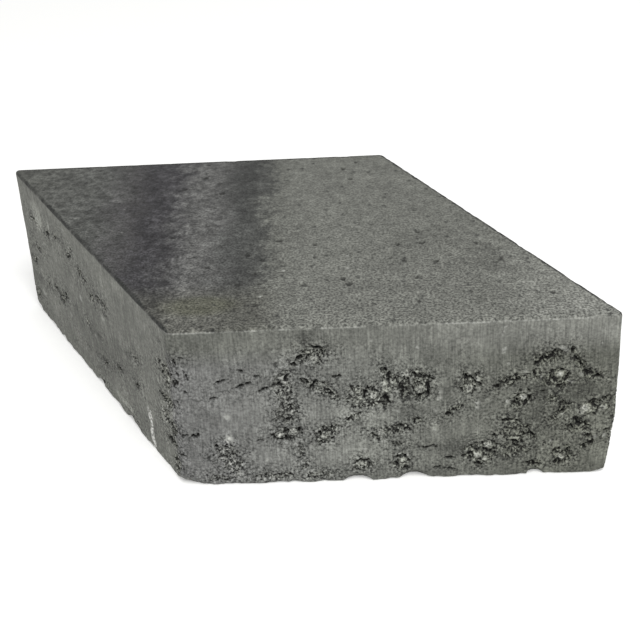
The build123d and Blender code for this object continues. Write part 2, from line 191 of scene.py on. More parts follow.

# Gaps between the pebbles, and slits in the skin, cut in and painted black as shade: place, height, half
# length, half height, tilt
slits = {
    "front": [
        (15.5, 41, 2.3, 0.5, 22), (22, 39.2, 3.3, 0.5, 20), (28, 37.2, 2.2, 0.5, 25),
        (12, 34.6, 1.3, 0.5, 20), (21.7, 44.7, 1.0, 0.5, -30), (26.5, 42.4, 0.9, 0.4, 0),
        (51, 41.1, 1.8, 0.5, 0), (25.8, 17.5, 1.3, 0.5, 0), (0.7, 39.4, 0.7, 0.9, 0),
        (0.8, 48, 0.5, 0.7, 0), (3.4, 50.2, 1.0, 0.35, 5), (4.4, 43, 0.35, 2.2, 15),
        (1.6, 44, 0.4, 1.5, 12), (3.6, 37.4, 0.6, 0.4, 0), (0.6, 33.6, 0.5, 1.2, 10),
        (4.8, 20.2, 1.8, 1.0, 40), (1.4, 20.6, 1.5, 0.6, 15), (79.3, 12.8, 3.2, 0.5, 0),
        (86.2, 8.1, 1.8, 0.6, 5), (91.8, 8.8, 2.6, 0.8, 10), (82.5, 4.6, 1.6, 0.6, 20),
        (86.5, 3.8, 2.0, 0.5, -10), (40.2, 48.3, 1.7, 0.6, 15), (38, 45.7, 0.8, 0.8, 0),
        (42.8, 48.8, 0.5, 1.2, 0), (45.3, 51.9, 2.2, 0.5, -20), (35.2, 41, 0.7, 1.6, -20),
        (33.2, 38.9, 1.2, 0.5, 10), (41.8, 39.9, 0.6, 1.5, 30), (42.8, 37.3, 1.6, 0.6, -10),
        (49, 35.3, 0.7, 1.6, 30), (50, 33, 1.0, 0.6, 0), (34.6, 21.5, 0.5, 1.8, 20),
        (36, 18.9, 1.5, 0.5, -20), (33.2, 17.8, 2.2, 0.5, -10), (38.6, 21, 0.5, 1.4, -20),
        (30.2, 18.5, 0.5, 1.2, 30), (35, 25.4, 1.6, 0.6, 0), (45, 19.5, 0.6, 1.3, 20),
        (46.6, 20.3, 1.6, 0.5, -10), (46, 16.2, 1.4, 0.5, 0), (48.9, 21.4, 1.3, 0.7, -30),
        (14.8, 15.2, 0.8, 0.5, -30), (12, 15.8, 0.6, 0.8, 0), (15, 12, 0.5, 0.8, 30),
        (36.5, 30.5, 0.6, 1.2, 10), (59.6, 33.2, 0.6, 2.2, 0), (61.5, 36.3, 2.2, 0.5, 15),
        (66.3, 31.8, 1.8, 0.7, -35), (57, 37.3, 1.6, 0.5, -10), (72.5, 38.3, 2.0, 0.9, 20),
        (75.6, 40.6, 1.4, 0.5, -40), (71.6, 34.5, 0.8, 2.4, 0), (79.6, 39.4, 2.2, 0.5, -15),
        (79.9, 36.3, 0.5, 2.0, 0), (64.5, 30.2, 1.4, 0.5, -30), (67.5, 40.5, 0.5, 1.8, 15),
        (66.2, 43, 1.0, 0.5, -30), (91.2, 40.2, 0.5, 1.8, 10), (93.2, 38.5, 2.0, 0.5, -35),
        (94.8, 40, 1.2, 0.5, 30), (90.4, 35.2, 0.5, 1.6, 0), (76, 23.6, 1.0, 0.6, 10),
        (70, 21, 1.6, 0.5, 10), (72.6, 20.2, 0.6, 0.9, 0), (62.6, 17.9, 2.0, 0.4, -32),
        (69.8, 8.9, 1.4, 0.5, 20), (69.4, 6.6, 0.5, 1.6, 0), (72, 4.4, 1.6, 0.8, 20),
        (58.4, 5.6, 1.0, 0.9, -20), (88.8, 27.6, 0.9, 0.6, 20), (86, 25, 1.0, 0.5, 10),
        (56.6, 26, 0.6, 0.9, 20), (54.2, 24.2, 0.9, 0.5, 0), (104.2, 36.9, 2.6, 0.6, 38),
        (107, 37.6, 1.5, 0.6, 0), (106.5, 39.6, 1.3, 0.5, -20), (116.5, 45.3, 2.8, 0.8, 15),
        (114.3, 43.4, 1.4, 0.5, 50), (119.8, 47.2, 1.6, 0.5, -30), (124, 47.3, 0.5, 1.2, 20),
        (126.3, 43.5, 0.6, 2.0, 40), (122.9, 38, 0.6, 1.8, -30), (120.9, 35.4, 0.6, 2.0, -10),
        (118.4, 37.5, 0.6, 1.2, 30), (112.8, 39.4, 0.5, 1.2, 0), (111.6, 30.5, 0.7, 1.6, 0),
        (106.9, 29, 0.6, 1.8, -40), (111, 33.2, 0.4, 1.2, 20), (118.8, 30.2, 1.0, 0.8, 0),
        (121.7, 28, 1.3, 0.8, 20), (120.8, 25.6, 0.6, 1.6, -10), (131, 28.3, 0.7, 1.2, -30),
        (132.4, 25.6, 0.5, 2.4, 10), (131.8, 23.4, 0.6, 1.0, 0), (126, 21.4, 1.5, 0.6, -20),
        (127.8, 19.2, 2.0, 0.5, 10), (125.2, 18.3, 0.6, 1.2, 30), (104.6, 22.2, 1.8, 0.5, -10),
        (107.5, 21.5, 0.7, 1.2, 20), (110.8, 19, 1.4, 0.6, 30), (110, 16.4, 1.2, 0.5, -40),
        (107.3, 13.7, 1.2, 0.7, -20), (107, 12, 0.9, 0.5, 0), (112.8, 15.7, 1.2, 0.5, -30),
        (98.1, 10.3, 2.2, 0.7, -45), (93.6, 11.6, 1.4, 0.5, -30), (93.4, 7.6, 0.6, 1.6, -30),
        (96, 5.2, 1.2, 0.7, -40), (100.3, 16.4, 0.9, 0.5, 20), (96.8, 13.6, 0.5, 1.2, 20),
        (113.4, 4.6, 2.2, 1.1, -20), (120.8, 5.3, 0.9, 1.3, -30), (124.1, 9, 0.6, 1.6, -10),
        (123.2, 11, 0.8, 0.5, 0), (131.2, 12.4, 0.8, 0.8, 0), (129.2, 10.5, 0.6, 1.4, 10),
        (130.5, 15, 1.2, 0.5, -20), (136.3, 17, 1.4, 0.5, 15), (132.3, 37.4, 0.9, 0.5, -20),
        (129, 39.2, 0.6, 0.9, 0), (115.8, 33, 1.2, 0.5, 20),
    ],
    "right": [
        (60, 36, 3, 0.6, 20), (24, 46, 3, 0.6, -20), (12.5, 28.4, 1.6, 0.6, 30),
        (34, 16.4, 0.6, 1.8, 0), (65, 26.4, 2, 0.6, 20), (70.4, 22, 0.6, 1.8, 20),
        (87.4, 10, 1.8, 0.6, -20), (100.6, 34, 0.6, 1.8, 0), (125.4, 22, 0.6, 1.8, 0),
        (53, 41, 1.8, 0.6, 10),
    ],
    "back": [
        (105, 26, 3, 0.6, 25), (16.6, 25, 0.6, 1.8, 0), (45, 18.6, 2, 0.6, 20), (62.6, 32, 0.6, 2, 0),
        (68, 29.6, 1.8, 0.6, -20), (101, 18, 0.6, 1.6, 0), (118, 30, 0.6, 1.8, 20),
        (30, 40, 1.8, 0.6, 0),
    ],
    "left": [
        (131.2, 44.2, 0.5, 1.2, 10), (133, 41.4, 0.6, 1.0, 0), (131, 30.9, 3.2, 1.5, 4),
        (140, 40.6, 1.4, 0.6, 10), (130.8, 13.8, 3.2, 1.3, 4), (139.6, 12.4, 1.2, 0.6, 10),
        (131, 19.4, 0.5, 1.4, 20), (128.6, 17.6, 0.5, 1.0, 10), (136.6, 20.4, 0.5, 1.0, 0),
        (134.6, 4.7, 2.8, 0.8, 6), (138.6, 9.4, 0.5, 0.9, 0), (134, 37.6, 0.5, 1.2, 10),
        (31.5, 23, 1.3, 0.5, 25), (42, 25, 1.4, 0.5, 0), (38, 22.4, 0.6, 1.2, 20),
        (51.5, 46.4, 0.9, 0.7, 0), (62, 44.4, 1.1, 0.6, 10), (84, 41.4, 1.2, 0.6, 20),
        (107.5, 22, 1.1, 0.6, 20), (7, 9.5, 1.2, 0.8, 0), (72.5, 39, 0.8, 0.7, 0),
        (9, 25, 1.2, 0.5, 30),
    ],
}

# Stretches where the skin is loose and full of specks: place, height, half length, half height, how much
looseSkin = {
    "front": [
        (118, 38, 15, 10, 0.6), (112, 16, 12, 13, 0.75), (127, 20, 9, 9, 0.65), (68, 36, 16, 8, 0.75),
        (35, 36, 4.5, 18, 0.6), (36, 12, 4, 10, 0.5), (15, 12, 8, 8, 0.75), (46, 18, 6, 5, 0.5),
        (68, 19, 9, 5, 0.55), (90, 27, 7, 5, 0.45), (96, 10, 8, 8, 0.6), (58, 6, 7, 4, 0.5),
        (71, 7, 5, 5, 0.5), (28, 4, 16, 3.5, 0.6), (86, 6, 9, 3, 0.4), (2, 44, 4, 9, 0.5),
        (2, 10, 4, 8, 0.4), (43, 48, 7, 6, 0.5), (21, 51, 3, 3, 0.4), (48, 34, 6, 4, 0.5),
        (94, 36, 6, 7, 0.5), (124, 6, 10, 5, 0.45),
    ],
    "right": [
        (36, 24, 34, 18, 0.5), (100, 26, 34, 18, 0.5), (68, 6, 60, 4, 0.45),
    ],
    "back": [
        (34, 24, 32, 18, 0.5), (98, 26, 34, 18, 0.5), (68, 6, 60, 4, 0.45),
    ],
    "left": [
        (29, 22, 16, 6, 0.5), (62, 43, 28, 6, 0.4), (134, 30, 6, 24, 0.6), (110, 24, 8, 8, 0.35),
        (75, 8, 50, 7, 0.35), (12, 22, 10, 20, 0.45), (24, 46, 18, 6, 0.4), (90, 22, 18, 8, 0.3),
        (132, 12, 7, 10, 0.5),
    ],
}

# Paler and darker stretches of the skin: place, height, half length, half height, and how much
# paler, below 0 for darker
skinPatches = {
    "front": [
        (20, 33.5, 12, 5, 0.12), (24, 24, 5, 5, 0.1), (29, 12, 6.5, 4, 0.25), (42, 29, 3, 6, 0.3),
        (52, 29, 4, 4, 0.25), (52, 13, 9, 6.5, 0.35), (64, 25, 5, 2.6, 0.25), (64, 11.5, 4, 4, 0.25),
        (71.2, 10, 1.9, 0.6, 1.0), (81.6, 21, 0.8, 4, 0.5), (80, 8.5, 5, 2.5, 0.2),
        (92, 20, 6, 5, 0.12), (103, 57, 0.8, 2.2, 0.5), (120, 4, 6, 2.5, 0.12),
        (118.5, 12, 3, 5, 0.15), (135, 20, 3, 4, 0.3), (134.5, 9, 3, 5, 0.3), (18, 4.5, 2, 2, 0.5),
        (29, 2.5, 2, 1, 0.4), (40.5, 3, 1.5, 1.5, 0.4), (73, 34, 2.6, 3, -0.5),
        (106, 10, 5, 3.5, -0.45), (117, 34, 5, 4, -0.25), (127, 31, 6, 5, -0.2),
        (90, 12.5, 6, 3, -0.3), (75, 27, 5, 2, -0.2), (86, 33, 3, 4, -0.15), (116, 26, 5, 5, -0.2),
        (41.5, 56.5, 1.6, 2.5, -0.3),
    ],
    "right": [],
    "back": [],
    "left": [
        (20, 50, 5, 4, 0.35), (21, 46, 4, 3, 0.4), (33, 49.6, 2, 1, 0.5), (14, 12.5, 3, 1.2, 0.4),
        (97, 56, 3, 2, 0.3), (92, 6, 7, 1.4, 0.5), (44.5, 18, 1, 1, 0.5), (81, 34.6, 1.4, 1, 0.5),
        (130.5, 25, 3.4, 3, 0.35), (128, 36, 1, 1, 0.4), (137.4, 28.4, 1.6, 3, 0.55),
        (128.6, 22, 3, 3, 0.3), (36, 21, 3.2, 2.4, -0.5), (41, 25, 3, 1.2, -0.5), (30, 23, 2, 1, -0.4),
        (8, 25, 4, 2, -0.35), (17, 33, 4, 1.2, -0.3), (14.5, 46.5, 2, 2, -0.3),
        (51.3, 46, 1.8, 1.6, -0.5), (61, 45, 1.8, 1.3, -0.5), (65.5, 43.4, 1.8, 0.8, -0.4),
        (84, 41.4, 2.4, 1.6, -0.5), (77, 41, 4, 1.2, -0.3), (72, 39, 1.5, 1, -0.35),
        (83, 38, 2.5, 1.2, -0.35), (108, 22, 2.2, 1.8, -0.4), (91, 20, 2.6, 1.1, -0.35),
        (77, 14.5, 3, 1.3, -0.35), (74, 24, 3, 1, -0.25), (8.5, 10, 2, 1.8, -0.4), (5, 17, 2, 3, -0.3),
        (12, 18, 5, 2, -0.3), (24, 20, 3, 1, -0.3), (75, 22, 24, 14, -0.16), (53, 26, 1.5, 3, -0.2),
        (65, 22, 2, 2, -0.25), (103, 32, 3, 2, -0.25), (45, 36, 3, 0.8, -0.2),
    ],
}

# Lime spots, and painted highlights on pale pebbles: place along a side, height, radius in mm, and how pale
limeSpotsAndHighlights = {
    "front": [
        (16, 27.2, 1.5, 0.8), (16, 18.8, 1.7, 0.9), (59, 12.6, 1.3, 0.4), (83.4, 31.8, 1.1, 0.6),
        (83.4, 34, 1.1, 0.5), (95.2, 29.4, 1.2, 0.6), (95.2, 27.6, 0.9, 0.4), (95.4, 19, 0.9, 0.4),
        (121.2, 48.6, 1.4, 0.7), (122.4, 47.8, 0.9, 0.5), (103.4, 49, 1.0, 0.6),
        (103.2, 47.8, 0.8, 0.5), (103.6, 57.4, 0.7, 0.6), (103, 55.6, 0.7, 0.5),
        (102.6, 54.2, 0.6, 0.4), (104.6, 29.2, 0.9, 0.6), (124.4, 35.8, 0.8, 0.4),
        (123.4, 36.4, 0.7, 0.4), (70.4, 10.2, 0.8, 0.8), (71.6, 10, 0.8, 0.9), (72.8, 9.6, 0.8, 0.8),
        (62.4, 33.4, 1.5, 0.35), (73, 41.2, 1.5, 0.6), (77, 35, 1.6, 0.5), (79.4, 40.2, 1.0, 0.5),
        (92.6, 35, 1.6, 0.5), (95, 38.4, 1.2, 0.5), (109.6, 30.8, 1.5, 0.7), (120.8, 39, 1.3, 0.7),
        (114.8, 38.2, 1.0, 0.4), (129, 25.6, 2.0, 0.6), (128.2, 24.2, 1.4, 0.5),
        (134.6, 25.6, 1.6, 0.5), (95.4, 8.8, 1.4, 0.7), (98.8, 12.8, 1.5, 0.6), (97.8, 7.2, 1.0, 0.5),
        (122.2, 6.8, 1.4, 0.5), (109.2, 13.2, 0.9, 0.6), (109.4, 17.6, 0.9, 0.5),
        (120.6, 25.4, 0.8, 0.5), (122.2, 24.2, 0.8, 0.5), (32, 19.6, 1.2, 0.4), (36.4, 20.6, 1.4, 0.4),
        (44.8, 48, 1.2, 0.35), (64.4, 19.6, 1.4, 0.5), (18, 4.6, 1.2, 0.5), (29, 2.8, 1.2, 0.6),
        (17, 9, 1.2, 0.4), (56.4, 26.8, 0.9, 0.4), (81.4, 22.6, 0.7, 0.5), (81.6, 19.4, 0.7, 0.5),
        (70.2, 27.2, 0.9, 0.4), (82, 27, 1.0, 0.3), (127.4, 39, 0.9, 0.4), (110, 40.6, 1.0, 0.4),
        (118.6, 13.4, 0.8, 0.4), (132.8, 14.6, 0.9, 0.5), (135.6, 15, 0.9, 0.5), (133.2, 50, 0.6, 0.5),
    ],
    "left": [
        (59, 32, 1.9, 0.8), (70, 22, 1.2, 0.5), (69, 11.3, 1.2, 0.5), (21, 47.5, 1.8, 0.4),
        (33, 49.8, 1.4, 0.4), (44.5, 18, 1.1, 0.5), (33.5, 45.2, 1.3, 0.4), (14, 12.4, 1.4, 0.4),
        (81.4, 34.8, 1.2, 0.4), (100, 18.4, 1.1, 0.3), (132, 26.4, 1.4, 0.4), (134.6, 25, 1.3, 0.4),
        (130.6, 22.4, 1.3, 0.4), (138.6, 29, 0.9, 0.5), (135, 9.6, 1.0, 0.5),
    ],
}

# Open pores in the walking face: x, y and radius in mm
topPores = [
    (44.8, -2.4, 0.9), (45.7, -10.1, 1.0), (39.7, -21.8, 1.0), (37.8, -10.9, 0.8), (63.8, -11.6, 0.9),
    (70.8, -23.3, 1.1), (69, -25, 0.9), (19.2, -32.4, 1.0), (21.3, -35.6, 1.1), (43.1, -33.3, 0.8),
    (49.7, -23.0, 0.9), (24.8, 54.4, 0.9), (20.1, 49.1, 1.0), (10.1, -8.4, 0.9), (6.8, -35.2, 1.0),
    (84.5, -45.7, 0.9), (50.5, -5.4, 0.8), (35.1, -19.8, 0.7), (42.9, -48.0, 0.8), (10.3, -17.1, 0.7),
    (-1.8, -4.8, 1.1), (-14.5, -33.6, 1.1), (-7.5, -33.4, 0.9), (-12.1, -14.0, 1.0), (-7.2, -17.9, 1.0),
    (-38.6, 0.4, 0.9), (-46.6, -19.6, 0.8), (-25.0, -21.3, 0.8), (-37.6, 37.5, 1.0), (-30.3, 46.2, 1.1),
    (-23.7, 32.9, 0.9), (-9.5, -27, 0.8), (-8.4, -47, 0.9), (-24.5, -58, 0.9), (22.8, 40.5, 0.9),
]


def planSides():
    # start corner, run and outward normal of each side of the rhombus, in mm
    low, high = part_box(paver["node"])
    depth = (high.y - low.y) / mm
    angle = math.radians(paver["acuteAngle"])
    length = depth / math.sin(angle)
    lean = length * math.cos(angle)
    nearLeft = Vector(((lean - length) / 2, -depth / 2, 0))
    nearRight = nearLeft + Vector((length, 0, 0))
    slant = Vector((-lean, depth, 0))
    corners = [nearLeft, nearRight, nearRight + slant, nearLeft + slant]
    sides = {}
    for index, name in enumerate(["front", "right", "back", "left"]):
        run = (corners[(index + 1) % 4] - corners[index]).normalized()
        sides[name] = {
            "start": np.array(corners[index]),
            "run": np.array(run),
            "out": np.array(run.cross(Vector((0, 0, 1)))),
        }
    return sides, length, (high.z - low.z) / mm


def smoothStep(low, high, value):
    t = np.clip((value - low) / (high - low), 0, 1)
    return t * t * (3 - 2 * t)


def noiseAt(points, name):
    # one of the stone's noises at points in mm, about -1 to 1
    size, shift = paver["noises"][name]
    return np.array([noise.noise(p) for p in (points / size + shift).tolist()])


def pointsOf(mesh):
    # vertex places in mm
    points = np.zeros(len(mesh.vertices) * 3)
    mesh.vertices.foreach_get("co", points)
    return points.reshape(-1, 3) / mm


def applyModifiers(piece):
    ready = piece.evaluated_get(bpy.context.evaluated_depsgraph_get())
    mesh = bpy.data.meshes.new_from_object(ready)
    old = piece.data
    piece.modifiers.clear()
    piece.data = mesh
    bpy.data.meshes.remove(old)


def remeshedStone():
    bm = bmesh.new()
    bm.from_mesh(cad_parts[paver["node"]].data)
    bmesh.ops.remove_doubles(bm, verts=bm.verts, dist=paver["weld"] * mm)
    mesh = bpy.data.meshes.new("pavingStone")
    bm.to_mesh(mesh)
    bm.free()
    piece = bpy.data.objects.new("pavingStone", mesh)
    bpy.context.scene.collection.objects.link(piece)
    remesh = piece.modifiers.new("fine", "REMESH")
    remesh.mode = "VOXEL"
    remesh.voxel_size = paver["voxel"] * mm
    applyModifiers(piece)
    return piece


def scatterCrumbs(name, length, thickness):
    # crumbs and pebbles behind the skin of a side: place, height, radius, slimness, turn, setback,
    # drop from middle to rim, and tone
    draw = random.Random(name)
    small, large = paver["crumbRadius"]
    crumbs, covered = [], 0
    while covered < paver["crumbCover"] * length * thickness:
        radius = small * (large / small) ** (draw.random() ** paver["crumbLean"])
        place, level = draw.uniform(0, length), draw.uniform(0, thickness)
        slim, turn = draw.uniform(*paver["crumbSlim"]), draw.uniform(0, math.pi)
        setback, tone = draw.uniform(*paver["crumbSetback"]), draw.uniform(*paver["crumbTone"])
        crumbs.append((place, level, radius, slim, turn, setback, paver["crumbDrop"] * radius, tone))
        covered += math.pi * slim * radius**2
    for place, level, halfLength, halfHeight, tilt, inside in honeycomb[name]:
        if inside == paver["pebbleMark"]:
            radius = paver["pebbleReach"] * max(halfLength, halfHeight)
            turn, tone = draw.uniform(0, math.pi), draw.uniform(*paver["pebbleTone"])
            crumbs.append((place, level, radius, paver["pebbleSlim"], turn, 0.0, paver["pebbleDrop"], tone))
    return crumbs


def crumbSurface(along, level, crumbs):
    # highest crumb over each point, as mm above the skin, with that crumb's tone, painted paler on its
    # crown and darker towards its rim as light and shade
    order = np.argsort(along)
    inOrder = along[order]
    top = np.full(len(along), -np.inf)
    tone = np.full(len(along), paver["plainTone"])
    for place, height, radius, slim, turn, setback, drop, shade in crumbs:
        first, last = np.searchsorted(inOrder, (place - radius, place + radius))
        near = order[first:last]
        x, y = along[near] - place, level[near] - height
        wide = x * math.cos(turn) + y * math.sin(turn)
        thin = (y * math.cos(turn) - x * math.sin(turn)) / slim
        out = (wide**2 + thin**2) / radius**2
        near, out = near[out < 1], out[out < 1]
        rise = -setback - drop * out**2
        higher = rise > top[near]
        top[near[higher]] = rise[higher]
        # painted highlight on the crown of each crumb, painted shade towards its rim
        tone[near[higher]] = shade * (1 - 0.5 * out[higher])  # paler on the crown
    return top, tone


def ovalAt(along, level, place, height, halfLength, halfHeight, tilt=0):
    # distance outside a tilted oval, as a share of its size: 0 on its outline, -1 in its middle
    turn = math.radians(tilt)
    across, above = along - place, level - height
    x = (across * math.cos(turn) + above * math.sin(turn)) / halfLength
    y = (above * math.cos(turn) - across * math.sin(turn)) / halfHeight
    return np.hypot(x, y) - 1


def openSkin(name, along, level, ragged, broken, patchy):
    # at each point of a side: how far its skin is broken open, how deep the gaps between the
    # crumbs may go in mm, how far a slit is open, and how rough and dark the skin round it is
    opened, depth, slit, grime = (np.zeros(len(along)) for layer in range(4))
    for *oval, inside in honeycomb[name]:
        out = ovalAt(along, level, *oval)
        uneven = paver["pebbleRagged"] if inside == paver["pebbleMark"] else 1
        skin = smoothStep(0.0, 0.2, ragged * uneven - out)
        opened = np.maximum(opened, skin)
        depth = np.maximum(depth, skin * paver["gapDepth"][inside])
        reach = np.clip(out, 0, None) * min(oval[2:4]) / paver["roughSkinReach"]
        grime = np.maximum(grime, np.exp(-reach))
    for oval in slits[name]:
        out = ovalAt(along, level, *oval)
        slit = np.maximum(slit, smoothStep(-0.1, 0.3, ragged - out) * broken)
        reach = np.clip(out, 0, None) * min(oval[2:4]) / paver["roughSkinReach"]
        grime = np.maximum(grime, 0.5 * np.exp(-reach))
    for *oval, amount in looseSkin[name]:
        out = ovalAt(along, level, *oval)
        grime = np.maximum(grime, amount * patchy * smoothStep(-0.5, 0.4, 0.6 * ragged - out))
    return opened, depth, slit, grime


def tonedSkin(name, along, level, ragged):
    # skin tone of a side, 0 to 1
    tone = np.full(len(along), paver["plainSkin"])
    for *oval, lift in skinPatches[name]:
        tone += lift * smoothStep(-0.3, 0.3, 0.8 * ragged - ovalAt(along, level, *oval))
    return np.clip(tone, 0, 1)


def pocketed(name, along, level, length, thickness):
    # 1 where the CAD pockets are worked over, 0 by the edges, corners and scar
    endFrom, endTo = paver["keepEnds"]
    edgeFrom, edgeTo = paver["keepEdges"]
    inside = smoothStep(edgeFrom, edgeTo, level) * smoothStep(edgeFrom, edgeTo, thickness - level)
    inside *= smoothStep(endFrom, endTo, along) * smoothStep(endFrom, endTo, length - along)
    if name == "left":
        scarFrom, scarTo, scarTop = paver["scar"]
        inside[(along > scarFrom) & (along < scarTo) & (level < scarTop)] = 0
    return inside


def crestOf(mesh, sunk):
    # above 0 where a point stands out from its neighbours, below 0 in a gap
    ends = np.zeros(len(mesh.edges) * 2, np.int32)
    mesh.edges.foreach_get("vertices", ends)
    a, b, count = ends[::2], ends[1::2], len(sunk)
    number = np.bincount(a, minlength=count) + np.bincount(b, minlength=count)
    soft = sunk
    for turn in range(paver["crestRounds"]):
        soft = (np.bincount(a, soft[b], count) + np.bincount(b, soft[a], count)) / number
    return soft - sunk


def roughenStone(piece):
    mesh = piece.data
    points = pointsOf(mesh)
    count = len(points)
    sides, length, thickness = planSides()
    insets = {n: (s["start"] - points) @ s["out"] for n, s in sides.items()}
    nearest = np.min(list(insets.values()), axis=0)
    facing = sum(np.exp(-insets[n] / paver["arrisBlend"])[:, None] * s["out"] for n, s in sides.items())
    facing /= np.linalg.norm(facing, axis=1)[:, None] + 1e-9
    height = points[:, 2].copy()
    fadeFrom, fadeTo = paver["edgeReach"]

    # openings of the sides, from the flat of the skin inwards
    inward, sunk, opened, grime, crumbly = (np.zeros(count) for layer in range(5))
    tone, skinTone = np.full(count, paver["plainTone"]), np.full(count, paver["plainSkin"])
    leastGap, moreGap = paver["gapGrit"]
    for name, side in sides.items():
        on = np.flatnonzero((insets[name] < fadeTo) & (insets[name] <= nearest + paver["arrisBlend"]))
        spots = points[on]
        warpAlong, warpUp = noiseAt(spots, "warpAlong"), noiseAt(spots, "warpUp")
        fineUp, fineAlong = noiseAt(spots, "fineUp"), noiseAt(spots, "fineAlong")
        along, level = (spots - side["start"]) @ side["run"], height[on]
        ragged = paver["ragged"] * warpAlong + paver["ragged"] * fineUp
        broken = smoothStep(-0.45, -0.1, noiseAt(spots, "slitBreaks"))
        patchy = 0.2 + smoothStep(-0.3, 0.35, noiseAt(spots, "loosePatches"))
        warped = along + paver["outlineWarp"] * warpAlong, level + paver["outlineWarp"] * warpUp
        skin, depth, slit, roughHere = openSkin(name, *warped, ragged, broken, patchy)
        crumbs = scatterCrumbs(name, length, thickness)
        warped = along + paver["crumbWarp"] * fineAlong, level + paver["crumbWarp"] * fineUp
        top, shade = crumbSurface(*warped, crumbs)
        deepest = depth * (leastGap + moreGap * smoothStep(-0.2, 0.4, fineAlong))
        gap = skin * np.minimum(deepest, np.clip(-top, 0, None))
        gap = np.maximum(gap, slit * paver["slitDepth"])
        change = gap - insets[name][on]
        change = np.where(change > 0, change, change * pocketed(name, along, level, length, thickness))
        tone[on] = np.where(gap > sunk[on], shade, tone[on])
        inward[on] = np.where(np.abs(change) > np.abs(inward[on]), change, inward[on])
        sunk[on] = np.maximum(sunk[on], gap)
        opened[on] = np.maximum(opened[on], skin)
        grime[on] = np.maximum(grime[on], roughHere)
        crumbly[on] = fineUp
        patched = tonedSkin(name, along, level, ragged)
        skinTone[on] = np.where(insets[name][on] <= nearest[on], patched, skinTone[on])
    loose = paver["looseDepth"] * np.clip(crumbly - 0.05, 0, None) * grime * (1 - opened)
    inward += paver["crumbGrit"] * crumbly * opened + loose

    # worn bed edge, crisper top edge and slow unevenness
    wander = noiseAt(points, "edgeBites") + 0.5 * noiseAt(points, "edgeNibbles")
    bedEdge = 1 - smoothStep(0, paver["bedReach"], height)
    bedEdge *= 1 - smoothStep(0, paver["bedReach"], nearest)
    topEdge = 1 - smoothStep(0, paver["topReach"], thickness - height)
    topEdge *= 1 - smoothStep(0, paver["topReach"], nearest)
    wear = paver["bedRagged"] * bedEdge * np.clip(0.05 + wander, -0.3, 2)
    nibble = paver["topRagged"] * topEdge * np.clip(wander - 0.1, 0, 2)
    wave = paver["sideWave"] * (0.05 + noiseAt(points, "waves"))
    wave *= smoothStep(*paver["waveFade"], thickness - height)
    fade = 1 - smoothStep(fadeFrom, fadeTo, nearest)
    points -= facing * ((inward + wear + nibble + wave) * fade)[:, None]
    onBed = (1 - smoothStep(0.0, paver["bedSkin"], height)) * (1 - fade)
    uneven = onBed * np.clip(0.4 + noiseAt(points, "bedLumps"), 0, 2)
    points[:, 2] += np.clip(wear, 0, None) - nibble + paver["bedRough"] * uneven

    # pores of the walking face, with painted shade in them
    # painted shade in the gaps of the openings, darker the deeper they go
    pit = smoothStep(*paver["pitShadeDepth"], sunk)
    onTop = np.flatnonzero(height > thickness - paver["topSkin"])
    spots = points[onTop]
    warpX = paver["poreWarp"] * noiseAt(spots, "poreAlong")
    warpY = paver["poreWarp"] * noiseAt(spots, "poreAcross")
    for x, y, radius in topPores:
        reach = np.hypot(spots[:, 0] + warpX - x, spots[:, 1] + warpY - y)
        dip = np.clip(1 - (reach / (paver["poreSpread"] * radius)) ** 2, 0, None)
        points[onTop, 2] -= paver["poreDepth"] * dip
        pit[onTop] = np.maximum(pit[onTop], 0.7 * smoothStep(0.0, 0.8, dip))

    # what the material reads
    # how far a point stands out, for painted light on the crests and painted shade in the hollows
    crest = np.clip(0.5 + crestOf(mesh, sunk), 0, 1)
    mesh.vertices.foreach_set("co", (points * mm).ravel())
    layers = {
        "pit": pit, "open": opened, "tone": tone,
        "crest": crest, "grime": grime, "skinTone": skinTone,
    }
    for name, values in layers.items():
        layer = mesh.attributes.new(name, "FLOAT", "POINT")
        layer.data.foreach_set("value", np.asarray(values, np.float32))
    mesh.update()


def thinStone(piece):
    faces = sum(len(p.vertices) - 2 for p in piece.data.polygons)
    thin = piece.modifiers.new("thin", "DECIMATE")
    thin.ratio = min(1.0, paver["triangles"] / faces)
    thin.use_collapse_triangulate = True
    applyModifiers(piece)
    piece.data.polygons.foreach_set("use_smooth", [True] * len(piece.data.polygons))
    return faces


def unwrapStone(piece):
    # each face of the stone laid flat on one square sheet, a margin apart
    mesh = piece.data
    sides, length, thickness = planSides()
    points = pointsOf(mesh)
    corner = np.zeros(len(mesh.loops), np.int32)
    mesh.loops.foreach_get("vertex_index", corner)
    spots = points[corner]
    middles = spots.reshape(-1, 3, 3).mean(axis=1)
    x, y, z = spots.T
    width, depth = np.ptp(points[:, 0]), np.ptp(points[:, 1])
    margin = paver["sheetMargin"]
    lower, upper = 2 * margin + depth, 3 * margin + 2 * depth
    runs = {n: (spots - s["start"]) @ s["run"] for n, s in sides.items()}
    near = {n: (s["start"] - middles) @ s["out"] for n, s in sides.items()}
    charts = [
        (thickness - middles[:, 2], x + margin + width / 2, y + margin + depth / 2),
        (middles[:, 2], margin + width / 2 - x, y + lower + depth / 2),
        (near["front"], runs["front"] + margin, z + upper),
        (near["back"], runs["back"] + 2 * margin + length, z + upper),
        (near["right"], z + 2 * margin + width, runs["right"] + margin),
        (near["left"], z + 3 * margin + width + thickness, runs["left"] + margin),
    ]
    chosen = np.repeat(np.argmin([c[0] for c in charts], axis=0), 3)
    sheet = 4 * margin + width + 2 * thickness
    across = np.choose(chosen, [c[1] for c in charts]) / sheet
    upward = np.choose(chosen, [c[2] for c in charts]) / sheet
    layer = mesh.uv_layers.new(name="OFBake")
    layer.data.foreach_set("uv", np.column_stack((across, upward)).ravel())
    return across.min(), across.max(), upward.min(), upward.max()


stone = remeshedStone()
print("stone remeshed:", len(stone.data.vertices), "vertices")
roughenStone(stone)
print("stone roughened")
before = thinStone(stone)
print("stone thinned:", before, "to", len(stone.data.polygons), "triangles")
print("stone unwrapped:", *(round(float(v), 3) for v in unwrapStone(stone)))

